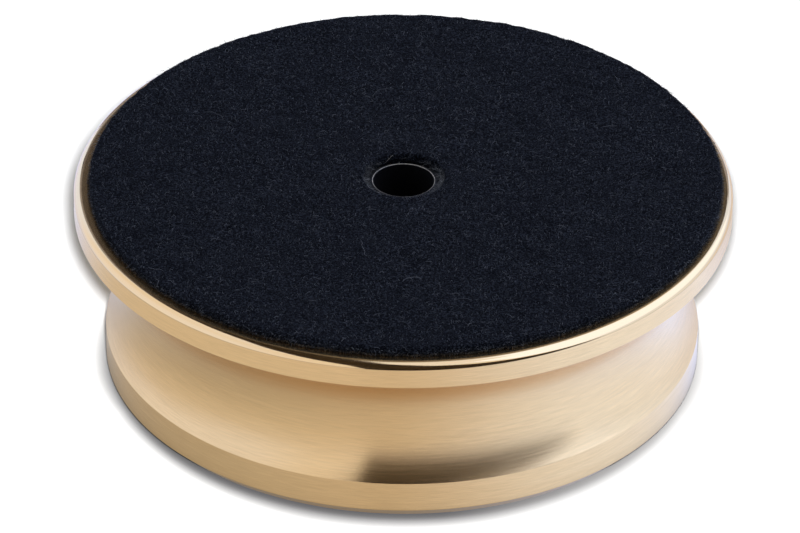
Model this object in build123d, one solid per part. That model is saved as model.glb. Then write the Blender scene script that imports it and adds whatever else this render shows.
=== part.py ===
from build123d import *
import os

# A turned brass record weight, lying upside down on its crown with its felted underside up.
# Millimetres, +Z up, origin at the centre of the crown's flat face. Z is the turning axis.

# Crown flange: the smaller disc, which is the top of the weight in use
crown_radius = 36.3
crown_thickness = 5.3
crown_chamfer = 1.5

# Waist: the concave groove for the fingers, measured from the crown's edge
waist_height = 16.1
waist_depth = 1.7

# Rim flange: the wide disc that carries the felt
rim_radius = 40.0
rim_thickness = 3.2
rim_rounding = 0.95
edge_break = 0.15

# Felt ring, glued to the rim flange a little off centre
felt_margin = 0.6
felt_thickness = 1.2
felt_rounding = 0.5
felt_offset_x = 0.27
felt_offset_y = 0.36
felt_hole_clearance = 0.05

# Spindle bush: a dark sleeve pressed into a blind bore, with a rolled lip and a bevelled shoulder
spindle_radius = 3.6
spindle_clearance = 0.1
bush_wall = 1.15
bush_rise = 0.6
bush_bevel = 0.45
lip_radius = 0.14
bush_seat_clearance = 0.02
bore_floor = 7.6

# Heights above the crown's face
rim_bottom = crown_thickness + waist_height
rim_face = rim_bottom + rim_thickness
bush_top = rim_face + bush_rise

# Radii that follow from the fits
waist_radius = crown_radius - waist_depth
hole_radius = spindle_radius + spindle_clearance
bush_radius = hole_radius + bush_wall
bore_radius = bush_radius + bush_seat_clearance
felt_hole_radius = bush_radius + felt_hole_clearance
felt_radius = rim_radius - rim_rounding - felt_margin


def weight_body():
    """The brass solid, turned in one piece from its half section."""
    crown_edge = (crown_radius, crown_thickness)
    rim_edge = (rim_radius, rim_bottom)
    waist_middle = (waist_radius, crown_thickness + waist_height / 2)
    rounding_centre = (rim_radius - rim_rounding, rim_face - rim_rounding)
    with BuildPart() as body:
        with BuildSketch(Plane.XZ) as section:
            with BuildLine():
                Polyline((0, 0), (crown_radius - crown_chamfer, 0), (crown_radius, crown_chamfer), crown_edge)
                ThreePointArc(crown_edge, waist_middle, rim_edge)
                Line(rim_edge, (rim_radius, rim_face - rim_rounding))
                CenterArc(rounding_centre, rim_rounding, 0, 90)
                Polyline(
                    (rim_radius - rim_rounding, rim_face),
                    (bore_radius, rim_face),
                    (bore_radius, bore_floor),
                    (0, bore_floor),
                    (0, 0),
                )
            make_face()
            for corner in (crown_edge, rim_edge):
                fillet(section.vertices().sort_by_distance(corner)[0], edge_break)
        revolve(axis=Axis.Z)
    return body.part


def felt_pad():
    """The felt ring: its outline sits off centre, its punched hole goes round the bush."""
    with BuildPart() as pad:
        with BuildSketch(Plane.XY.offset(rim_face)):
            with Locations((felt_offset_x, felt_offset_y)):
                Circle(felt_radius)
            Circle(felt_hole_radius, mode=Mode.SUBTRACT)
        extrude(amount=felt_thickness)
        fillet(pad.faces().sort_by(Axis.Z)[-1].edges(), felt_rounding)
    return pad.part


def spindle_bush():
    """The sleeve for the spindle, seated on the bore's floor and standing a little above the rim's face."""
    lip_outside = hole_radius + 2 * lip_radius
    lip_base = bush_top - lip_radius
    with BuildPart() as bush:
        with BuildSketch(Plane.XZ):
            with BuildLine():
                Polyline(
                    (hole_radius, lip_base),
                    (hole_radius, bore_floor),
                    (bush_radius, bore_floor),
                    (bush_radius, lip_base - bush_bevel),
                    (lip_outside, lip_base),
                )
                CenterArc((hole_radius + lip_radius, lip_base), lip_radius, 0, 180)
            make_face()
        revolve(axis=Axis.Z)
    return bush.part


def export_parts():
    os.makedirs("parts", exist_ok=True)
    for make in (weight_body, felt_pad, spindle_bush):
        export_step(make(), f"parts/{make.__name__}.step")


export_parts()
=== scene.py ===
import math

import bpy
import numpy as np
from mathutils import Matrix, Vector


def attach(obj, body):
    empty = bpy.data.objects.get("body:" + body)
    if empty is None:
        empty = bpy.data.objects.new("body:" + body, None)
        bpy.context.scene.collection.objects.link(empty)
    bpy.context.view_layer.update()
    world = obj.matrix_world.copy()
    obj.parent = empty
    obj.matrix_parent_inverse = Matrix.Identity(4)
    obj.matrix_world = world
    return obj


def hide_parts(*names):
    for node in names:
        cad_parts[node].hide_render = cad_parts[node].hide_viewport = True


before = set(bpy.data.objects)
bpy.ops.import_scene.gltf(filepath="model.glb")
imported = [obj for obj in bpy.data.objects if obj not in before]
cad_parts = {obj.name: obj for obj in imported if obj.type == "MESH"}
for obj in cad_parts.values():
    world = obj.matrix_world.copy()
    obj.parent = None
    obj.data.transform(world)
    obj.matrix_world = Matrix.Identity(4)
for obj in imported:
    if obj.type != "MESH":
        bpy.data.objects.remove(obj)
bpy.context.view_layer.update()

mm = 0.001  # sizes below are in millimetres, the scene is in metres

bpy.context.scene.view_settings.view_transform = "Standard"


# Profiles are drawn as strokes in (radius, height), from the axis round the section and back to the axis.
# Each stroke is a list of (point, outward normal), so the turned mesh gets exact smooth normals.

def straightStroke(start, end, pieces=1):
    along = (Vector(end) - Vector(start)).normalized()
    normal = Vector((along.y, -along.x))
    return [(Vector(start).lerp(Vector(end), i / pieces), normal.copy()) for i in range(pieces + 1)]


def arcStroke(centre, radius, startDeg, endDeg, pieces):
    side = 1 if endDeg > startDeg else -1  # a clockwise arc is hollow, so its normal points at its centre
    stroke = []
    for i in range(pieces + 1):
        angle = math.radians(startDeg + (endDeg - startDeg) * i / pieces)
        out = Vector((math.cos(angle), math.sin(angle)))
        stroke.append((Vector(centre) + out * radius, out * side))
    return stroke


def trimStroke(stroke, cut):
    # takes a length off the end of a stroke
    while True:
        (before, beforeNormal), (last, lastNormal) = stroke[-2], stroke[-1]
        run = (last - before).length
        if run > cut:
            t = 1 - cut / run
            return stroke[:-1] + [(before.lerp(last, t), beforeNormal.lerp(lastNormal, t).normalized())]
        stroke, cut = stroke[:-1], cut - run


def roundedPath(strokes, radii, pieces=5):
    # joins strokes, with a small round of the given radius at each corner
    path = list(strokes[0])
    for stroke, radius in zip(strokes[1:], radii):
        normalIn, normalOut = path[-1][1], stroke[0][1]
        turn = normalIn.angle_signed(normalOut, 0)  # clockwise is positive here
        if abs(turn) < math.radians(2):
            path += stroke[1:]
            continue
        cut = radius * math.tan(abs(turn) / 2)
        path = trimStroke(path, cut)
        rest = trimStroke(stroke[::-1], cut)[::-1]
        normalIn, normalOut = path[-1][1], rest[0][1]
        hollow = 1 if turn > 0 else -1
        centre = path[-1][0] + normalIn * radius * hollow
        for i in range(1, pieces):
            normal = normalIn.slerp(normalOut, i / pieces)
            path.append((centre - normal * radius * hollow, normal))
        path += rest
    return path


def turnedMesh(name, path, segments, materialAt, materials):
    # turns a path round Z; materialAt(point) picks a material for each ring of faces
    rings = [(p * mm, n) for p, n in path]
    angles = np.arange(segments) * 2 * math.pi / segments
    cosA, sinA = np.cos(angles), np.sin(angles)
    points, normals, starts = [], [], []
    for p, n in rings:
        starts.append(len(points))
        if p.x < 1e-9:
            points.append((0, 0, p.y))
            normals.append((0, 0, n.y))
            continue
        points += list(zip(p.x * cosA, p.x * sinA, np.full(segments, p.y)))
        normals += list(zip(n.x * cosA, n.x * sinA, np.full(segments, n.y)))
    faces, slots = [], []
    for i in range(len(rings) - 1):
        a, b = starts[i], starts[i + 1]
        poleLow, poleHigh = rings[i][0].x < 1e-9, rings[i + 1][0].x < 1e-9
        slot = materialAt((rings[i][0] + rings[i + 1][0]) / (2 * mm))
        for j in range(segments):
            k = (j + 1) % segments
            if poleLow:
                faces.append((a, b + k, b + j))
            elif poleHigh:
                faces.append((a + j, a + k, b))
            else:
                faces.append((a + j, a + k, b + k, b + j))
            slots.append(slot)
    mesh = bpy.data.meshes.new(name)
    mesh.from_pydata(points, [], faces)
    for material in materials:
        mesh.materials.append(material)
    mesh.polygons.foreach_set("material_index", slots)
    mesh.polygons.foreach_set("use_smooth", [True] * len(faces))
    mesh.normals_split_custom_set_from_vertices(normals)
    piece = bpy.data.objects.new(name, mesh)
    bpy.context.scene.collection.objects.link(piece)
    return piece


# Materials

class Tree:
    # short way to add and link nodes
    def __init__(self, nodeTree):
        self.tree = nodeTree
        self.tree.nodes.clear()

    def add(self, kind, links=None, **settings):
        node = self.tree.nodes.new(kind)
        for key, value in settings.items():
            setattr(node, key, value)
        for socket, value in (links or {}).items():
            if isinstance(value, bpy.types.NodeSocket):
                self.tree.links.new(value, node.inputs[socket])
            else:
                node.inputs[socket].default_value = value
        return node

    def math(self, operation, a, b=0.0):
        return self.add("ShaderNodeMath", {0: a, 1: b}, operation=operation).outputs[0]

    def mix(self, amount, one, other, blend="MIX"):
        links = {"Factor": amount, 6: one, 7: other}
        return self.add("ShaderNodeMix", links, data_type="RGBA", blend_type=blend).outputs[2]

    def mapRange(self, value, low, high, toLow=0.0, toHigh=1.0, smooth=False):
        kind = "SMOOTHSTEP" if smooth else "LINEAR"
        links = {"Value": value, "From Min": low, "From Max": high, "To Min": toLow, "To Max": toHigh}
        return self.add("ShaderNodeMapRange", links, interpolation_type=kind).outputs["Result"]

    def noise(self, vector, scale, detail, output="Fac"):
        links = {"Vector": vector, "Scale": scale, "Detail": detail}
        return self.add("ShaderNodeTexNoise", links).outputs[output]

    def bump(self, strength, depth, height):
        links = {"Strength": strength, "Distance": depth, "Height": height}
        return self.add("ShaderNodeBump", links).outputs[0]

    def shaded(self, colour, level):
        # a colour times a grey level
        grey = self.add("ShaderNodeCombineColor", {0: level, 1: level, 2: level}).outputs[0]
        return self.mix(1.0, colour, grey, "MULTIPLY")

    def height(self):
        place = self.add("ShaderNodeTexCoord").outputs["Object"]
        return self.add("ShaderNodeSeparateXYZ", {0: place}).outputs[2]

    def reflectedRay(self):
        # 1 for what shows in the metal
        paths = self.add("ShaderNodeLightPath").outputs
        return self.math("MAXIMUM", paths["Is Glossy Ray"], paths["Is Transmission Ray"])

    def surface(self, shader):
        self.add("ShaderNodeOutputMaterial", {"Surface": shader.outputs[0]})


def newMaterial(name):
    material = bpy.data.materials.new(name)
    material.use_nodes = True
    return material, Tree(material.node_tree)


def plainMaterial(name, kind, settings):
    material, t = newMaterial(name)
    t.surface(t.add(kind, settings))
    return material


brassFinish = {
    "colour": (0.755, 0.490, 0.222, 1),
    "paleColour": (0.79, 0.530, 0.255, 1),
    "roughness": (0.19, 0.26),
    "anisotropy": 0.95, "anisotropyTurn": 0.25,
    # turned lines: how many per metre over the profile, and patches per turn
    "fineLines": (9000, 3), "broadLines": (900, 2), "streakLines": (7000, 12), "polishLines": (14000, 3),
    "lineRange": (0.3, 0.7),      # levels of their noise that are used
    "streaks": (0.93, 1.05),      # tint of the fine brush marks
    "bump": 0.12, "bumpDepth": 0.00005, "bumpShares": (0.7, 0.3),   # shares of the fine and broad lines
    "polishRoughness": (0.07, 0.13), "polishRange": (0.35, 0.7),
    "polishBump": 0.05, "polishDepth": 0.00003,
    "polishLine": (0.09, 0.62),   # height and tint of the fine line at which the polish stops
    "faceRoughness": 0.24,        # the flat face beside the felt is turned, not polished
    "faceBlend": 0.04,            # height over which one goes into the other
}


def turningLines(t, across, around):
    # noise drawn out round the axis: across is lines per metre over the profile, around is patches per turn
    place = t.add("ShaderNodeTexCoord").outputs["Object"]
    x, y, z = t.add("ShaderNodeSeparateXYZ", {0: place}).outputs
    radius = t.math("SQRT", t.math("ADD", t.math("MULTIPLY", x, x), t.math("MULTIPLY", y, y)))
    radius = t.math("MAXIMUM", radius, 0.0001)
    c = t.math("MULTIPLY", t.math("DIVIDE", x, radius), around)
    s = t.math("MULTIPLY", t.math("DIVIDE", y, radius), around)
    vector = t.add("ShaderNodeCombineXYZ", {0: c, 1: s, 2: t.math("MULTIPLY", z, across)}).outputs[0]
    w = t.math("MULTIPLY", radius, across)
    links = {"Vector": vector, "W": w, "Scale": 1.0, "Detail": 3.0, "Roughness": 0.6}
    return t.add("ShaderNodeTexNoise", links, noise_dimensions="4D").outputs["Fac"]


def brushedBrass():
    f = brassFinish
    material, t = newMaterial("brushedBrass")
    fine = turningLines(t, *f["fineLines"])
    broad = turningLines(t, *f["broadLines"])
    streak = t.mapRange(turningLines(t, *f["streakLines"]), *f["lineRange"], *f["streaks"])
    colour = t.shaded(t.mix(broad, f["colour"], f["paleColour"]), streak)
    roughness = t.mapRange(fine, *f["lineRange"], *f["roughness"])
    fineShare, broadShare = f["bumpShares"]
    height = t.math("ADD", t.math("MULTIPLY", fine, fineShare), t.math("MULTIPLY", broad, broadShare))
    bump = t.bump(f["bump"], f["bumpDepth"], height)
    tangent = t.add("ShaderNodeTangent", direction_type="RADIAL", axis="Z").outputs[0]
    t.surface(t.add("ShaderNodeBsdfPrincipled", {
        "Base Color": colour, "Metallic": 1.0, "Roughness": roughness,
        "Anisotropic": f["anisotropy"], "Anisotropic Rotation": f["anisotropyTurn"],
        "Tangent": tangent, "Normal": bump}))
    return material


def polishedBrass():
    f = brassFinish
    material, t = newMaterial("polishedBrass")
    fine = turningLines(t, *f["polishLines"])
    roughness = t.mapRange(fine, *f["polishRange"], *f["polishRoughness"])
    bump = t.bump(f["polishBump"], f["polishDepth"], fine)
    height = t.height()
    roughness = t.mapRange(height, (rimFace() - f["faceBlend"]) * mm, rimFace() * mm,
                           roughness, f["faceRoughness"])
    start = (rimFace() - brassBody["rimRounding"]) * mm
    size, tint = f["polishLine"]
    colour = t.shaded(f["paleColour"], t.mapRange(height, start, start + size * mm, tint, 1.0))
    t.surface(t.add("ShaderNodeBsdfPrincipled", {
        "Base Color": colour, "Metallic": 1.0, "Roughness": roughness, "Normal": bump}))
    return material


# Brass body

brassBody = {
    "crownRadius": 36.3, "crownThickness": 5.3, "crownChamfer": 1.5,
    "waistHeight": 16.1, "waistDepth": 1.7,
    "rimRadius": 40.0, "rimThickness": 3.2, "rimRounding": 0.75,
    # the rounding starts at a crease, is tight at first and eases into the face
    "rimCreaseDeg": 15, "rimTightRadius": 0.95, "rimTightDeg": 60,
    "boreRadius": 4.87, "boreFloor": 7.6,
    "edgeBreak": 0.15,          # small round at each corner
    "boreBreaks": [0.02, 0.1],  # the same at the bore's mouth and floor
    "polishInset": 1,           # the polish keeps this far from the bore
    "segments": 384, "waistSteps": 64, "roundingSteps": 16,
}


def rimFace():
    # height of the face that carries the felt
    return brassBody["crownThickness"] + brassBody["waistHeight"] + brassBody["rimThickness"]


def circleThrough(p, q, r):
    # centre and radius of the circle through three points
    ax, ay, bx, by, cx, cy = *p, *q, *r
    d = 2 * (ax * (by - cy) + bx * (cy - ay) + cx * (ay - by))
    pp, qq, rr = ax * ax + ay * ay, bx * bx + by * by, cx * cx + cy * cy
    x = (pp * (by - cy) + qq * (cy - ay) + rr * (ay - by)) / d
    y = (pp * (cx - bx) + qq * (ax - cx) + rr * (bx - ax)) / d
    return (x, y), math.hypot(ax - x, ay - y)


def makeBody():
    b = brassBody
    rimBottom = b["crownThickness"] + b["waistHeight"]
    faceHeight = rimFace()
    crownEdge = (b["crownRadius"], b["crownThickness"])
    rimEdge = (b["rimRadius"], rimBottom)
    waist = (b["crownRadius"] - b["waistDepth"], b["crownThickness"] + b["waistHeight"] / 2)
    waistCentre, waistRadius = circleThrough(crownEdge, waist, rimEdge)
    lowDeg = math.degrees(math.atan2(crownEdge[1] - waistCentre[1], crownEdge[0] - waistCentre[0])) % 360
    highDeg = math.degrees(math.atan2(rimEdge[1] - waistCentre[1], rimEdge[0] - waistCentre[0])) % 360
    tight = b["rimTightRadius"]
    crease, joint = math.radians(b["rimCreaseDeg"]), math.radians(b["rimTightDeg"])
    easy = (b["rimRounding"] - tight * (math.sin(joint) - math.sin(crease))) / (1 - math.sin(joint))
    tightCentre = (b["rimRadius"] - tight * math.cos(crease),
                   faceHeight - b["rimRounding"] - tight * math.sin(crease))
    easyCentre = (tightCentre[0] - (easy - tight) * math.cos(joint), faceHeight - easy)
    strokes = [
        straightStroke((0, 0), (b["crownRadius"] - b["crownChamfer"], 0), 6),
        straightStroke((b["crownRadius"] - b["crownChamfer"], 0), (b["crownRadius"], b["crownChamfer"])),
        straightStroke((b["crownRadius"], b["crownChamfer"]), crownEdge, 4),
        arcStroke(waistCentre, waistRadius, lowDeg, highDeg, b["waistSteps"]),
        straightStroke(rimEdge, (b["rimRadius"], faceHeight - b["rimRounding"]), 3),
        arcStroke(tightCentre, tight, b["rimCreaseDeg"], b["rimTightDeg"], b["roundingSteps"]),
        arcStroke(easyCentre, easy, b["rimTightDeg"], 90, b["roundingSteps"]),
        straightStroke((easyCentre[0], faceHeight), (b["boreRadius"], faceHeight), 6),
        straightStroke((b["boreRadius"], faceHeight), (b["boreRadius"], b["boreFloor"])),
        straightStroke((b["boreRadius"], b["boreFloor"]), (0, b["boreFloor"])),
    ]
    path = roundedPath(strokes, [b["edgeBreak"]] * 7 + b["boreBreaks"])
    polishFrom = faceHeight - b["rimRounding"]
    polishOutside = b["boreRadius"] + b["polishInset"]
    piece = turnedMesh("brassBody", path, b["segments"],
                       lambda p: 1 if p.y > polishFrom and p.x > polishOutside else 0,
                       [brushedBrass(), polishedBrass()])
    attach(piece, "root")
    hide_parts("weight_body")
    print("brass body turned,", len(piece.data.polygons), "faces")
    return piece


# Felt ring: a closed lumpy mesh, with loose fibres on it as separate pieces

feltRing = {
    "radius": 38.45, "centre": (0.27, 0.36), "holeRadius": 4.86, "thickness": 1.2,
    "edgeRounding": 0.42, "holeRounding": 0.55, "footInset": 0.05,
    "rows": 70, "columns": 520,
    "edgeSteps": [0.0, 0.02, 0.06, 0.12, 0.2, 0.3, 0.45, 0.7], "edgeBand": 1.1,   # closer rows at both edges
    "lumps": [(5.0, 0.02), (1.4, 0.05), (0.65, 0.05)],   # cell size and height of the uneven top
    "raggedEdge": [(3.0, 0.04), (0.7, 0.10)],            # the same for its outline
    "lumpRoom": 0.09, "edgeRoom": 0.06,                  # how far the even felt stays inside for them
    "lumpSeed": 20, "edgeSeed": 40,
    "holeLean": (0.05, 0.42),                            # how far the hole's upper edge leans
    "colour": (0.0014, 0.0018, 0.0034, 1),
    "paleColour": (0.031, 0.0372, 0.057, 1),
}


def latticeNoise(x, y, cell, seed, cells=256):
    # smooth noise from -1 to 1 on a square lattice
    grid = np.random.RandomState(seed).rand(cells, cells) * 2 - 1
    ix, iy = np.floor(x / cell).astype(int), np.floor(y / cell).astype(int)
    fx, fy = x / cell - ix, y / cell - iy
    fx, fy = fx * fx * (3 - 2 * fx), fy * fy * (3 - 2 * fy)
    left, right, near, far = ix % cells, (ix + 1) % cells, iy % cells, (iy + 1) % cells
    low = grid[left, near] * (1 - fx) + grid[right, near] * fx
    high = grid[left, far] * (1 - fx) + grid[right, far] * fx
    return low * (1 - fy) + high * fy


def feltOutline(angle):
    # ragged outer radius, about the felt's own centre
    f = feltRing
    rim = np.full_like(angle, f["radius"] - f["edgeRoom"])
    x, y = f["radius"] * np.cos(angle), f["radius"] * np.sin(angle)
    for k, (cell, size) in enumerate(f["raggedEdge"]):
        rim = rim + latticeNoise(x, y, cell, f["edgeSeed"] + k) * size
    return rim


def roundedDrop(inside, rounding):
    # how far the top falls at a distance inside a rounded edge
    left = rounding - np.clip(inside, 0, rounding)
    return rounding - np.sqrt(np.maximum(rounding ** 2 - left ** 2, 0))


def feltTop(x, y):
    # height of the felt's upper surface
    f = feltRing
    top = rimFace() + f["thickness"] - f["lumpRoom"]
    fromX, fromY = x - f["centre"][0], y - f["centre"][1]
    outer = feltOutline(np.arctan2(fromY, fromX)) - np.hypot(fromX, fromY)
    inner = np.hypot(x - f["holeLean"][0], y - f["holeLean"][1]) - f["holeRadius"]
    z = top - roundedDrop(outer, f["edgeRounding"]) - roundedDrop(inner, f["holeRounding"])
    for k, (cell, size) in enumerate(f["lumps"]):
        z = z + latticeNoise(x, y, cell, f["lumpSeed"] + k) * size
    return z


def meshFromArrays(name, points, quads, triangles, material):
    mesh = bpy.data.meshes.new(name)
    mesh.vertices.add(len(points))
    mesh.vertices.foreach_set("co", (points * mm).astype(np.float32).ravel())
    corners = np.concatenate([quads.ravel(), triangles.ravel()]).astype(np.int32)
    starts = np.concatenate([np.arange(len(quads)) * 4, len(quads) * 4 + np.arange(len(triangles)) * 3])
    mesh.loops.add(len(corners))
    mesh.loops.foreach_set("vertex_index", corners)
    mesh.polygons.add(len(starts))
    mesh.polygons.foreach_set("loop_start", starts.astype(np.int32))
    mesh.update(calc_edges=True)
    mesh.polygons.foreach_set("use_smooth", np.ones(len(starts), dtype=bool))
    mesh.materials.append(material)
    piece = bpy.data.objects.new(name, mesh)
    bpy.context.scene.collection.objects.link(piece)
    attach(piece, "root")
    return piece


woolLook = {
    "warpScale": 1700.0, "warpSize": 0.0009,        # bends the strands
    "strands": ((2300.0, 0.4), (3600.0, 1.7)),      # scale and turn of two layers of tangled strands
    "strandWidth": 0.14, "strandLevels": (0.4, 1.0),
    "cloudScale": 260.0, "cloudFrom": (0.35, 0.65), "cloudLevels": (0.7, 1.0),
    "speckScale": 5200.0, "speckFrom": (0.41, 0.68), "speckGrain": (0.85, 1.12, 1.0),
    "bump": 0.6, "bumpDepth": 0.00012,
}


def feltWool():
    f = woolLook
    material, t = newMaterial("feltWool")
    place = t.add("ShaderNodeTexCoord").outputs["Object"]
    warp = t.noise(place, f["warpScale"], 2.0, "Color")
    push = t.add("ShaderNodeVectorMath", {0: warp, "Scale": f["warpSize"]}, operation="SCALE").outputs[0]
    bent = t.add("ShaderNodeVectorMath", {0: place, 1: push}, operation="ADD").outputs[0]
    strands = []
    for scale, turn in f["strands"]:
        turned = t.add("ShaderNodeVectorRotate", {"Vector": bent, "Angle": turn}, rotation_type="Z_AXIS")
        links = {"Vector": turned.outputs[0], "Scale": scale}
        cells = t.add("ShaderNodeTexVoronoi", links, feature="DISTANCE_TO_EDGE").outputs[0]
        strands.append(t.mapRange(cells, 0.0, f["strandWidth"], 1.0, 0.0, smooth=True))
    tangle = t.math("MAXIMUM", strands[0], strands[1])
    cloud = t.noise(place, f["cloudScale"], 4.0)
    grain = t.add("ShaderNodeMapping", {"Vector": place, "Scale": f["speckGrain"]}).outputs[0]
    speck = t.mapRange(t.noise(grain, f["speckScale"], 1.0), *f["speckFrom"], smooth=True)
    amount = t.math("MULTIPLY", t.mapRange(tangle, 0, 1, *f["strandLevels"]),
                    t.mapRange(cloud, *f["cloudFrom"], *f["cloudLevels"]))
    amount = t.math("MULTIPLY", amount, speck)
    colour = t.mix(amount, feltRing["colour"], feltRing["paleColour"])
    bump = t.bump(f["bump"], f["bumpDepth"], tangle)
    t.surface(t.add("ShaderNodeBsdfPrincipled", {
        "Base Color": colour, "Roughness": 0.95, "Specular IOR Level": 0.02,
        "Sheen Weight": 0.004, "Sheen Roughness": 0.5, "Normal": bump}))
    return material


def makeFelt():
    f = feltRing
    base = rimFace()
    angle = np.arange(f["columns"]) * 2 * math.pi / f["columns"]
    rim = feltOutline(angle)
    outX, outY = f["centre"][0] + rim * np.cos(angle), f["centre"][1] + rim * np.sin(angle)
    inX, inY = f["holeRadius"] * np.cos(angle), f["holeRadius"] * np.sin(angle)
    leanX, leanY = inX + f["holeLean"][0], inY + f["holeLean"][1]
    width = f["radius"] - f["holeRadius"]
    edgeSteps = np.array(f["edgeSteps"]) / width
    middle = np.linspace(1 - f["edgeBand"] / width, f["edgeBand"] / width, f["rows"])
    share = np.concatenate([1 - edgeSteps, middle, edgeSteps[::-1]])
    footX, footY = outX - f["footInset"] * np.cos(angle), outY - f["footInset"] * np.sin(angle)
    rows = [(inX, inY, np.full_like(angle, base)), (footX, footY, np.full_like(angle, base))]
    for u in share:
        x, y = leanX + (outX - leanX) * u, leanY + (outY - leanY) * u
        rows.append((x, y, feltTop(x, y)))
    points = np.concatenate([np.stack(row, axis=1) for row in rows])
    ring, column = np.meshgrid(np.arange(len(rows)), np.arange(f["columns"]), indexing="ij")
    nextRing, nextColumn = (ring + 1) % len(rows), (column + 1) % f["columns"]
    corners = [(ring, column), (ring, nextColumn), (nextRing, nextColumn), (nextRing, column)]
    quads = np.stack([i * f["columns"] + j for i, j in corners], axis=-1).reshape(-1, 4)
    piece = meshFromArrays("feltRing", points, quads, np.zeros((0, 3), dtype=int), feltWool())
    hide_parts("felt_pad")
    print("felt laid,", len(quads), "faces")
    return piece


feltFibres = {
    "seed": 11,
    # count, points along each, length, thickness, curl and lift of each sort of pile
    "pile": {
        "shortPile1": (12500, 3, (0.16, 0.42), (0.010, 0.017), 2.5, (0.05, 0.28)),
        "shortPile2": (12500, 3, (0.16, 0.42), (0.010, 0.017), 2.5, (0.05, 0.28)),
        "curledPile": (3200, 5, (0.5, 1.2), (0.010, 0.016), 1.9, (0.02, 0.20)),
    },
    "pileGaps": (0.1, 0.2),     # from the hole and from the edge
    "edge": 4200, "edgeLength": (0.15, 0.5), "edgeThickness": (0.012, 0.022),
    "edgeInset": (-0.05, 0.15), "edgeTurn": 0.9, "edgeCurl": 2.5, "edgeLift": (-0.05, 0.08),
    "edgeHeight": (0.05, 1.0), "edgeSlope": 0.15, "edgeAbove": 0.05,
    "tufts": [(-38.6, 26), (-12.0, 20), (-31.0, 12)], "tuftSpread": 0.012,   # angle round the felt and count
    "foot": 7000, "footLength": (0.12, 0.38), "footThickness": (0.012, 0.022),
    "footOutset": (-0.06, 0.06), "footTurn": 0.8, "footCurl": 2.5, "footLift": (-0.03, 0.05),
    "footHeight": (0.03, 0.30),
    "hole": [(-90, 43, 1300), (-5, 30, 500), (185, 30, 500)],   # angle, spread and count round the hole
    "holeLength": (0.3, 0.95), "holeThickness": (0.008, 0.015),
    "holeOutset": (-0.35, 0.6), "holeTurn": 1.0, "holeCurl": 1.3, "holeLift": (0.0, 0.1), "holeTop": 0.85,
    "loose": 26, "looseLength": (2.0, 4.0), "looseThickness": (0.014, 0.022),
    "looseRing": (7, 36), "looseCurl": 0.35, "looseLift": (0.1, 0.25), "looseAbove": 0.05,
    # single fibres at the hole, from point to point
    "strays": [((-2.29, 3.80, 25.25), (-1.38, 4.68, 25.85)),
               ((-0.75, 3.70, 25.22), (-0.45, 4.05, 25.30)),
               ((2.25, 3.10, 25.22), (2.50, 3.55, 25.32)),
               ((3.75, 0.75, 25.22), (4.25, 0.80, 25.30))],
    "strayThickness": 0.018,
    "wobble": 0.25, "taper": (0.6, 0.4),       # of every fibre; the taper is at its start and its end
    "clearance": 0.05, "lipMargin": 0.1,       # room to the brass and the bush
    "colour": (0.005, 0.006, 0.009, 1),
    "paleColour": (0.22, 0.243, 0.31, 1),
    # painted light: the foot fuzz is coloured warm for the brass's light on it, not for the fibres' own
    # colour
    "footBrassLightColour": (0.022, 0.019, 0.015, 1),
    "footBrassLightPaleColour": (0.24, 0.20, 0.155, 1),
    "holeColour": (0.012, 0.014, 0.019, 1),
    "holePaleColour": (0.19, 0.205, 0.24, 1),
    "strayColour": (0.34, 0.34, 0.36, 1),
    "paleCurve": 2.6,                          # higher means fewer pale fibres
}


def fibreMaterial(name, colour, paleColour):
    material, t = newMaterial(name)
    pick = t.add("ShaderNodeNewGeometry").outputs["Random Per Island"]
    mixed = t.mix(t.math("POWER", pick, feltFibres["paleCurve"]), colour, paleColour)
    t.surface(t.add("ShaderNodeBsdfPrincipled", {
        "Base Color": mixed, "Roughness": 0.7, "Specular IOR Level": 0.1}))
    return material


def brassOrBushBelow(x, y):
    # lowest height a fibre may have there, so that it lies over the metal and the bush
    r = np.hypot(x, y)
    b = spindleBush
    lip = rimFace() + b["rise"]
    low = np.full_like(r, rimFace())
    low = np.where(r < b["holeRadius"] + b["wall"] + feltFibres["lipMargin"], lip, low)
    return low + feltFibres["clearance"]


def fibreTubes(name, x, y, z, radius, material):
    # closed three-sided tubes along paths given as arrays of (fibre, point)
    path = np.stack([x, y, z], axis=-1)
    along = np.gradient(path, axis=1)
    along /= np.linalg.norm(along, axis=2, keepdims=True)
    side = np.cross(along, np.array([0.0, 0.0, 1.0]))
    side /= np.maximum(np.linalg.norm(side, axis=2, keepdims=True), 1e-6)
    up = np.cross(side, along)
    count, steps = x.shape
    taper = np.ones(steps)
    taper[0], taper[-1] = feltFibres["taper"]
    size = (radius[:, None] * taper)[:, :, None]
    corners = [path + size * (side * math.cos(a) + up * math.sin(a)) for a in np.radians((90, 210, 330))]
    points = np.stack(corners, axis=2).reshape(-1, 3)
    first = np.arange(count)[:, None, None] * steps * 3
    k = np.arange(steps - 1)[None, :, None] * 3
    c = np.arange(3)[None, None, :]
    d = (c + 1) % 3
    quads = np.stack(np.broadcast_arrays(first + k + c, first + k + d, first + k + 3 + d, first + k + 3 + c),
                     axis=-1).reshape(-1, 4)
    start = np.arange(count)[:, None] * steps * 3
    end = start + (steps - 1) * 3
    triangles = np.concatenate([start + [2, 1, 0], end + [0, 1, 2]])
    return meshFromArrays(name, points, quads, triangles, material)


def fibrePaths(rng, x0, y0, heading, length, curl, lift, steps=5, droop=0.05):
    # curled paths that start and end in the felt and arch over it
    s = np.linspace(0, 1, steps)
    wobble = rng.normal(0, feltFibres["wobble"], (len(x0), steps))
    turn = heading[:, None] + curl[:, None] * length[:, None] * (s - 0.5) + wobble
    step = (length / (steps - 1))[:, None]

    def walked(start, share):
        moved = np.cumsum(share * step, axis=1)[:, :-1]
        return start[:, None] + np.concatenate([np.zeros((len(start), 1)), moved], axis=1)

    arch = lift[:, None] * 4 * s * (1 - s) - droop * (2 * s - 1) ** 4
    return walked(x0, np.cos(turn)), walked(y0, np.sin(turn)), arch


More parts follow.
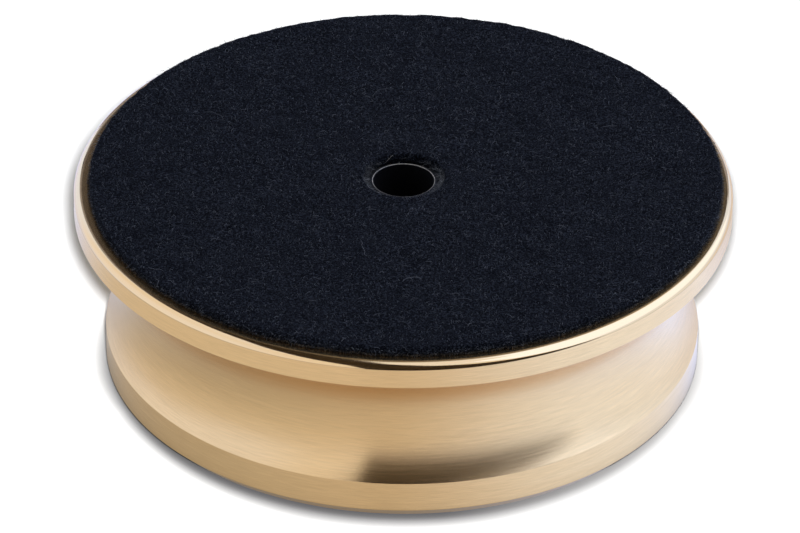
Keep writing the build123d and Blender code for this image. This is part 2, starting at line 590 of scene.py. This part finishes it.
def makeFibres():
    f, ring = feltFibres, feltRing
    rng = np.random.RandomState(f["seed"])
    material = fibreMaterial("feltFibre", f["colour"], f["paleColour"])
    brassLitFibre = fibreMaterial("footFibrePaintedBrassLight", f["footBrassLightColour"], f["footBrassLightPaleColour"])  # painted brass light: their warm colour stands in for the brass's light on them
    pale = fibreMaterial("holeFibre", f["holeColour"], f["holePaleColour"])
    pieces = []

    def onFelt(r, a):
        # a place about the felt's own centre
        return ring["centre"][0] + r * np.cos(a), ring["centre"][1] + r * np.sin(a)

    # pile all over the top
    inner, outer = ring["holeRadius"] + f["pileGaps"][0], ring["radius"] - f["pileGaps"][1]
    for name, (n, steps, length, thickness, curl, lift) in f["pile"].items():
        r = np.sqrt(rng.uniform(inner ** 2, outer ** 2, n))
        a = rng.uniform(0, 2 * math.pi, n)
        x, y, arch = fibrePaths(rng, *onFelt(r, a), rng.uniform(0, 2 * math.pi, n), rng.uniform(*length, n),
                                rng.normal(0, curl, n), rng.uniform(*lift, n), steps)
        z = np.maximum(feltTop(x, y) + arch, brassOrBushBelow(x, y))
        pieces.append(fibreTubes(name, x, y, z, rng.uniform(*thickness, n), material))

    # fuzz along the outer edge, thicker in a few tufts
    a = rng.uniform(-math.pi, math.pi, f["edge"])
    for angle, count in f["tufts"]:
        a = np.concatenate([a, np.radians(angle) + rng.normal(0, f["tuftSpread"], count)])
    n, steps = len(a), 4
    r = feltOutline(a) - rng.uniform(*f["edgeInset"], n)
    x, y, arch = fibrePaths(rng, *onFelt(r, a), a + rng.normal(0, f["edgeTurn"], n),
                            rng.uniform(*f["edgeLength"], n), rng.normal(0, f["edgeCurl"], n),
                            rng.uniform(*f["edgeLift"], n), steps)
    height = rimFace() + rng.uniform(*f["edgeHeight"], n)
    slope = np.linspace(0, 1, steps)[None, :] * rng.normal(0, f["edgeSlope"], (n, 1))
    z = np.minimum(feltTop(x, y) + f["edgeAbove"], height[:, None]) + arch + slope
    z = np.maximum(z, brassOrBushBelow(x, y))
    pieces.append(fibreTubes("feltEdgeFuzz", x, y, z, rng.uniform(*f["edgeThickness"], n), material))

    # fuzz at the foot of the edge, on the brass, painted warm with the brass's light
    n = f["foot"]
    a = rng.uniform(-math.pi, math.pi, n)
    r = feltOutline(a) + rng.uniform(*f["footOutset"], n)
    x, y, arch = fibrePaths(rng, *onFelt(r, a), a + rng.normal(0, f["footTurn"], n),
                            rng.uniform(*f["footLength"], n), rng.normal(0, f["footCurl"], n),
                            rng.uniform(*f["footLift"], n), steps)
    z = np.maximum(rimFace() + rng.uniform(*f["footHeight"], (n, 1)) + arch, brassOrBushBelow(x, y))
    pieces.append(fibreTubes("feltFootFuzz", x, y, z, rng.uniform(*f["footThickness"], n), brassLitFibre))

    # fuzz round the hole, thin on the far side
    a = np.radians(np.concatenate([rng.normal(*patch) for patch in f["hole"]]))
    n = len(a)
    r = ring["holeRadius"] + rng.uniform(*f["holeOutset"], n)
    x, y, arch = fibrePaths(rng, r * np.cos(a), r * np.sin(a), a + math.pi + rng.normal(0, f["holeTurn"], n),
                            rng.uniform(*f["holeLength"], n), rng.normal(0, f["holeCurl"], n),
                            rng.uniform(*f["holeLift"], n))
    z = np.maximum(np.minimum(feltTop(x, y), rimFace() + f["holeTop"]) + arch, brassOrBushBelow(x, y))
    pieces.append(fibreTubes("feltHoleFuzz", x, y, z, rng.uniform(*f["holeThickness"], n), pale))

    # long loose fibres on the top
    n = f["loose"]
    inner, outer = f["looseRing"]
    r = np.sqrt(rng.uniform(inner ** 2, outer ** 2, n))
    a = rng.uniform(0, 2 * math.pi, n)
    x, y, arch = fibrePaths(rng, r * np.cos(a), r * np.sin(a), rng.uniform(0, 2 * math.pi, n),
                            rng.uniform(*f["looseLength"], n), rng.normal(0, f["looseCurl"], n),
                            rng.uniform(*f["looseLift"], n), 9)
    z = feltTop(x, y) + f["looseAbove"] + arch
    pieces.append(fibreTubes("feltLooseFibres", x, y, z, rng.uniform(*f["looseThickness"], n), material))

    # single fibres over the bush's lip
    ends = np.array(f["strays"])
    s = np.linspace(0, 1, 4)[None, :, None]
    path = ends[:, :1] * (1 - s) + ends[:, 1:] * s
    stray = plainMaterial("strayFibre", "ShaderNodeBsdfDiffuse", {"Color": f["strayColour"]})
    thickness = np.full(len(ends), f["strayThickness"])
    pieces.append(fibreTubes("feltStrays", path[..., 0], path[..., 1], path[..., 2], thickness, stray))
    print("fibres made,", sum(len(piece.data.polygons) for piece in pieces), "faces")
    return pieces


# Spindle bush

spindleBush = {
    "holeRadius": 3.7, "wall": 1.15, "rise": 0.6, "bevel": 0.45, "lipRadius": 0.14, "floor": 7.6,
    "cornerRounds": [0.05, 0.1, 0.02, 0.02], "lipSteps": 16, "segments": 128,
    "lipHighlightDeg": (98, 136),       # part of the lip's round painted pale, from outside over the top: a painted highlight along the lip's crest
    "colour": (0.006, 0.006, 0.007, 1), "roughness": 0.45, "lines": (6000, 14),
    # the lip's pale colour is a painted highlight
    "lipHighlightColour": (0.27, 0.265, 0.26, 1), "lipRoughness": 0.5, "lipLines": (300, 9),
    "lineRange": (0.3, 0.7), "lineLevels": (0.2, 1.5),   # how much the turned lines change the colour
}


def bushMaterial(name, colour, roughness, lines):
    material, t = newMaterial(name)
    worn = t.mapRange(turningLines(t, *lines), *spindleBush["lineRange"], *spindleBush["lineLevels"])
    t.surface(t.add("ShaderNodeBsdfPrincipled", {
        "Base Color": t.shaded(colour, worn), "Roughness": roughness, "Specular IOR Level": 0.15}))
    return material


def makeBush():
    b = spindleBush
    lipBase = rimFace() + b["rise"] - b["lipRadius"]
    outside = b["holeRadius"] + b["wall"]
    lipOut = b["holeRadius"] + 2 * b["lipRadius"]
    strokes = [
        straightStroke((b["holeRadius"], b["floor"]), (outside, b["floor"])),
        straightStroke((outside, b["floor"]), (outside, lipBase - b["bevel"])),
        straightStroke((outside, lipBase - b["bevel"]), (lipOut, lipBase)),
        arcStroke((b["holeRadius"] + b["lipRadius"], lipBase), b["lipRadius"], 0, 180, b["lipSteps"]),
        straightStroke((b["holeRadius"], lipBase), (b["holeRadius"], b["floor"])),
    ]
    path = roundedPath(strokes, b["cornerRounds"])
    path.append(path[0])  # a ring, so the path comes back to its start

    def lipOrSleeve(p):
        # the painted highlight band on the lip's top, else the black sleeve
        around = math.degrees(math.atan2(p.y - lipBase, p.x - b["holeRadius"] - b["lipRadius"]))
        return 1 if p.y > lipBase and b["lipHighlightDeg"][0] < around < b["lipHighlightDeg"][1] else 0

    piece = turnedMesh("spindleBush", path, b["segments"], lipOrSleeve,
                       [bushMaterial("bushPlastic", b["colour"], b["roughness"], b["lines"]),
                        bushMaterial("lipPaintedHighlight", b["lipHighlightColour"], b["lipRoughness"], b["lipLines"])])
    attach(piece, "root")
    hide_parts("spindle_bush")
    print("bush turned")
    return piece


# Camera, placed by the ellipses of the rim and crown in the photograph

cameraSpot = {
    "elevationDeg": 32.14,
    "distance": 0.930,          # metres, to the centre of the rim's lower edge
    "pixelsPerMetre": 8225,     # at that point
    "targetPixel": (403.3, 206.65),
    "rollDeg": -0.64,
    "imageSize": (800, 533),
    "sensorWidth": 36, "clip": (0.05, 20),
}


def makeCamera():
    c = cameraSpot
    e = math.radians(c["elevationDeg"])
    target = Vector((0, 0, (brassBody["crownThickness"] + brassBody["waistHeight"]) * mm))
    forward = Vector((0, math.cos(e), -math.sin(e)))
    right, up = Vector((1, 0, 0)), Vector((0, math.sin(e), math.cos(e)))
    roll = Matrix.Rotation(math.radians(c["rollDeg"]), 3, forward)
    right, up = roll @ right, roll @ up
    focalPixels = c["pixelsPerMetre"] * c["distance"]
    dx = c["imageSize"][0] / 2 - c["targetPixel"][0]
    dy = c["targetPixel"][1] - c["imageSize"][1] / 2
    aim = (forward * focalPixels + right * dx + up * dy).normalized()
    side = aim.cross(up).normalized()
    lift = side.cross(aim)
    data = bpy.data.cameras.new("camera")
    data.sensor_width = c["sensorWidth"]
    data.lens = c["sensorWidth"] * focalPixels / c["imageSize"][0]
    data.clip_start, data.clip_end = c["clip"]
    camera = bpy.data.objects.new("camera", data)
    turn = Matrix((side, lift, -aim)).transposed()
    camera.matrix_world = Matrix.Translation(target - forward * c["distance"]) @ turn.to_4x4()
    bpy.context.scene.collection.objects.link(camera)
    bpy.context.scene.camera = camera
    print("camera set, lens", round(data.lens, 1), "mm")


# Stage and light: a white surround, cards for the reflections in the metal, a soft key lamp for the weight
# and a lamp for the floor alone

studio = {
    "floorSize": 3.0,
    "floorColour": (0.735, 0.743, 0.755, 1),
    "contact": 0.0026,          # metres from the object at which the floor starts to darken
    "contactFrom": 0.1, "contactCurve": 1.85,
    # its reach in front and at the ends, and the shorter one between them, by how far to the side
    "contactReach": (1.0, 0.82), "contactSides": (0.3, 0.8), "contactEnds": (0.99, 0.93),
    "contactColour": (0.075, 0.075, 0.08, 1),
    "contactPale": (0.28, 0.28, 0.285, 1), "contactPaleFrom": (0.15, 0.95),   # its colour at the right
    "floorLamp": {"azimuth": 0.6, "elevation": 33.6, "distance": 0.68, "lift": 0.02,
                  "size": 0.020, "light": 1.45},
    # the floor in reflections is painted light, a tinted glow: sides run from -1 at the left to 1 at the
    # right, distances are from the axis
    "paleWhite": (0.865, 0.87, 0.92, 1),
    "leftFrom": (-0.1, -0.7), "leftWhite": (0.84, 0.86, 0.90, 1),
    "coolFrom": (-0.1, 0.9), "coolRear": (0.09, 0.54), "coolWhite": (1.11, 1.38, 2.15, 1),
    "farFrom": (0.075, 0.15), "farTint": (1.0, 1.05, 1.25, 1),
    # metres behind the axis and to its left
    "backFrom": (-0.005, 0.03), "backSide": (0.0, -0.03), "backWhite": (0.92, 1.05, 1.45, 1),
    # painted shadow in the reflected floor: darker near the weight, and under the crown's edge
    "nearFrom": (0.040, 0.068), "nearSides": (-0.85, 0.45), "nearShade": (0.645, 0.965),
    "under": 0.45, "underFrom": (0.0355, 0.0395),
    "surround": 1.1,            # the white seen all round in the metal
    "fill": 0.50,               # the light it gives
    "surroundColour": (0.92, 0.98, 1.16, 1),
    "sideColour": (0.95, 1.10, 1.55, 1),   # far to the left and right, and overhead
    "sideFrom": (0.45, 0.9), "upFrom": (0.7, 0.95),
    "behindColour": (0.90, 1.18, 2.0, 1), "behindFrom": (0.55, 0.8),
    "cardDistance": 1.4,        # metres from the object
    "glowCloser": 0.03, "rightFarther": 0.05,
    "cardPoints": 9,            # across each strip
    "flagColour": (0.054, 0.044, 0.036, 1),
    # cards are strips between two outlines of (degrees right of the camera, degrees up)
    "frontFlag": ([(-10.5, -1), (-14, 15), (-18, 32), (-26, 43), (-36, 51), (-45, 56)],
                  [(69, -1), (56, 15), (38, 32), (28, 44), (14, 60), (2, 79)]),
    "gapFlag": ([(-45, 56), (-58, 61), (-75, 65), (-95, 67), (-115, 67),
                 (-135, 63), (-148, 55), (-156, 44), (-160, 30)],
                [(2, 79), (-10, 84), (-45, 86), (-90, 86.7), (-135, 86),
                 (-165, 78), (-173, 60), (-174, 46), (-175, 30)]),
    "backFlag": ([(-158, 32), (-166, 40), (-174, 46), (-178.2, 40)],
                 [(-158, 20), (-166, 22), (-172, 23), (-178.2, 23)]),
    "midBack": ([(-178.2, 40), (-190, 40), (-205, 40)], [(-178.2, 23), (-190, 23), (-205, 23)]),
    "leftBack": ([(-157, 24), (-154, 34), (-151, 42)], [(-169, 29), (-167, 36), (-165, 42)]),
    "backLine": ([(-160, 6), (-180, 6), (-200, 6)], [(-160, 0), (-180, 0), (-200, 0)]),
    "highBack": ([(-171, 66), (-173, 55), (-174, 46), (-178.2, 40)],
                 [(-199, 66), (-203, 54), (-205, 46), (-205, 40)]),
    "lowBack": ([(-160, 22), (-166, 23), (-172, 24), (-178, 24), (-194, 24), (-210, 25)],
                [(-161, 6), (-166, 6), (-172, 6), (-178, 6), (-193, 6), (-208, 6)]),
    "rightCard": ([(72, 0), (56, 20), (40, 40), (40, 60), (50, 74)],
                  [(140, 0), (142, 20), (148, 40), (152, 60), (150, 74)]),
    "highBackGlow": 0.24,
    "midBackGlow": 0.07,
    "leftBackGlow": 0.34,
    "lowBackGlow": 0.38,
    "backColour": (1.0, 1.12, 1.6, 1),
    "rightGlow": (1.15, 1.72),        # at its foot and higher up
    "rightGlowFrom": (0.1, 0.55),     # metres up
    "rightColour": (0.80, 1.03, 1.70, 1),
    "key": {"azimuth": 122, "elevation": 66, "distance": 1.2, "size": 0.7, "light": 0.62},
}


def compass(azimuth, elevation, distance):
    a, e = math.radians(azimuth), math.radians(elevation)
    return Vector((math.sin(a) * math.cos(e), -math.cos(a) * math.cos(e), math.sin(e))) * distance


def makeFloor():
    s = studio
    half = s["floorSize"] / 2
    mesh = bpy.data.meshes.new("floor")
    corners = [(-half, -half, 0), (half, -half, 0), (half, half, 0), (-half, half, 0)]
    mesh.from_pydata(corners, [], [(0, 1, 2, 3)])
    floor = bpy.data.objects.new("floor", mesh)
    bpy.context.scene.collection.objects.link(floor)
    material, t = newMaterial("paleFloor")
    place = t.add("ShaderNodeTexCoord").outputs["Object"]
    away = t.add("ShaderNodeVectorMath", {0: place}, operation="LENGTH").outputs["Value"]
    x, y = t.add("ShaderNodeSeparateXYZ", {0: place}).outputs[:2]
    notZero = t.math("MAXIMUM", away, 0.001)
    side, rear = t.math("DIVIDE", x, notZero), t.math("DIVIDE", y, notZero)

    # as it is seen: pale, with a shade close to the weight
    near = t.add("ShaderNodeAmbientOcclusion", {"Distance": s["contact"]}, samples=16).outputs["AO"]
    sideways = t.math("ABSOLUTE", side)
    reach = t.math("MAXIMUM", t.mapRange(sideways, *s["contactSides"], *s["contactReach"]),
                   t.mapRange(sideways, *s["contactEnds"], *s["contactReach"]))
    near = t.math("POWER", t.mapRange(near, s["contactFrom"], reach), s["contactCurve"])
    shade = t.mix(t.mapRange(side, *s["contactPaleFrom"]), s["contactColour"], s["contactPale"])
    diffuse = t.add("ShaderNodeBsdfDiffuse", {"Color": t.mix(near, shade, s["floorColour"])}).outputs[0]

    # as the metal shows it: a painted glow, with a painted shadow near the weight
    tint = t.mix(t.mapRange(side, *s["leftFrom"], smooth=True), s["paleWhite"], s["leftWhite"])
    behind = t.math("MULTIPLY", t.mapRange(y, *s["backFrom"], smooth=True), t.mapRange(x, *s["backSide"]))
    tint = t.mix(behind, tint, s["backWhite"])
    farther = t.mix(1.0, tint, s["farTint"], "MULTIPLY")
    tint = t.mix(t.mapRange(away, *s["farFrom"], smooth=True), tint, farther)
    cool = t.math("MULTIPLY", t.mapRange(side, *s["coolFrom"], smooth=True),
                  t.mapRange(rear, *s["coolRear"], 1.0, 0.0))
    tint = t.mix(cool, tint, s["coolWhite"])
    nearby = t.mapRange(side, *s["nearSides"], *s["nearShade"])
    level = t.math("MULTIPLY", t.mapRange(away, *s["nearFrom"], nearby, 1.0, smooth=True),
                   t.mapRange(away, *s["underFrom"], s["under"], 1.0, smooth=True))
    white = t.add("ShaderNodeEmission", {"Color": tint, "Strength": level}).outputs[0]
    t.surface(t.add("ShaderNodeMixShader", {0: t.reflectedRay(), 1: diffuse, 2: white}))
    mesh.materials.append(material)
    return floor


def makeCard(name, material, distance, lights=True):
    one, other = studio[name]
    across = studio["cardPoints"]
    corners, faces = [], []
    for (azimuth, elevation), (endAzimuth, endElevation) in zip(one, other):
        for k in range(across):
            u = k / (across - 1)
            corners.append(compass(azimuth + (endAzimuth - azimuth) * u,
                                   elevation + (endElevation - elevation) * u, distance))
    for i in range(len(one) - 1):
        for k in range(across - 1):
            a, b = i * across + k, (i + 1) * across + k
            faces.append((a, b, b + 1, a + 1))
    mesh = bpy.data.meshes.new(name)
    mesh.from_pydata(corners, [], faces)
    mesh.materials.append(material)
    card = bpy.data.objects.new(name, mesh)
    card.visible_camera = False
    card.visible_diffuse = lights  # a glowing card shows in the metal only
    bpy.context.scene.collection.objects.link(card)


def groupOf(name, objects):
    group = bpy.data.collections.new(name)
    for one in objects:
        group.objects.link(one)
    return group


def makeLamps(floor, pieces):
    key = studio["key"]
    data = bpy.data.lights.new("keyLamp", "AREA")
    data.size = key["size"]
    slant = math.sin(math.radians(key["elevation"]))
    data.energy = key["light"] * math.pi ** 2 * key["distance"] ** 2 / slant
    lamp = bpy.data.objects.new("keyLamp", data)
    lamp.location = compass(key["azimuth"], key["elevation"], key["distance"])
    weight = groupOf("weightPieces", pieces)
    lamp.light_linking.receiver_collection = weight
    low = studio["floorLamp"]
    data = bpy.data.lights.new("floorLamp", "POINT")
    data.shadow_soft_size = low["size"]
    data.energy = low["light"] * 4 * math.pi ** 2 / math.sin(math.radians(low["elevation"]))
    data.use_nodes = True
    t = Tree(data.node_tree)
    even = t.add("ShaderNodeLightFalloff", {"Strength": 1.0}).outputs["Constant"]   # the same near and far
    t.add("ShaderNodeOutputLight", {"Surface": t.add("ShaderNodeEmission", {"Strength": even}).outputs[0]})
    floorLamp = bpy.data.objects.new("floorLamp", data)
    up = Vector((0, 0, low["lift"]))
    floorLamp.location = compass(low["azimuth"], low["elevation"], low["distance"]) + up
    floorLamp.light_linking.receiver_collection = groupOf("floorOnly", [floor])
    floorLamp.light_linking.blocker_collection = weight  # the weight throws a shadow, the flags don't
    for one in (lamp, floorLamp):
        one.rotation_euler = one.location.to_track_quat("Z", "Y").to_euler()
        one.visible_camera = False
        one.visible_glossy = False  # the metal shows the surround and the cards instead
        bpy.context.scene.collection.objects.link(one)


def makeSurround():
    s = studio
    world = bpy.data.worlds.new("whiteSurround")
    bpy.context.scene.world = world
    world.use_nodes = True
    t = Tree(world.node_tree)
    reflected = t.reflectedRay()
    level = t.mapRange(reflected, 0, 1, s["fill"], s["surround"])
    level = t.mapRange(t.add("ShaderNodeLightPath").outputs["Is Camera Ray"], 0, 1, level, 1.0)
    direction = t.add("ShaderNodeTexCoord").outputs["Generated"]
    x, y, z = t.add("ShaderNodeSeparateXYZ", {0: direction}).outputs
    sideways = t.mapRange(t.math("ABSOLUTE", x), *s["sideFrom"], smooth=True)
    upward = t.mapRange(z, *s["upFrom"], smooth=True)
    seen = t.mix(t.math("MAXIMUM", sideways, upward), s["surroundColour"], s["sideColour"])
    seen = t.mix(t.mapRange(y, *s["behindFrom"], smooth=True), seen, s["behindColour"])
    tint = t.mix(reflected, (1, 1, 1, 1), seen)
    background = t.add("ShaderNodeBackground", {"Color": tint, "Strength": level}).outputs[0]
    t.add("ShaderNodeOutputWorld", {"Surface": background})


def makeStudio(pieces):
    s = studio
    floor = makeFloor()
    black = plainMaterial("blackCard", "ShaderNodeBsdfDiffuse", {"Color": s["flagColour"]})
    for name in ("frontFlag", "gapFlag", "backFlag", "backLine"):
        makeCard(name, black, s["cardDistance"])
    for name in ("highBack", "midBack", "lowBack", "leftBack"):
        tint = s["backColour"] if name in ("lowBack", "leftBack") else (1, 1, 1, 1)
        grey = plainMaterial(name, "ShaderNodeEmission", {"Color": tint, "Strength": s[name + "Glow"]})
        makeCard(name, grey, s["cardDistance"] - s["glowCloser"], lights=False)
    glow, t = newMaterial("glowCard")
    strength = t.mapRange(t.height(), *s["rightGlowFrom"], *s["rightGlow"], smooth=True)
    t.surface(t.add("ShaderNodeEmission", {"Color": s["rightColour"], "Strength": strength}))
    makeCard("rightCard", glow, s["cardDistance"] + s["rightFarther"], lights=False)
    makeLamps(floor, pieces)
    makeSurround()
    print("studio set")


body = makeBody()
felt = makeFelt()
fibres = makeFibres()
bush = makeBush()
makeStudio([body, felt, bush] + fibres)
makeCamera()
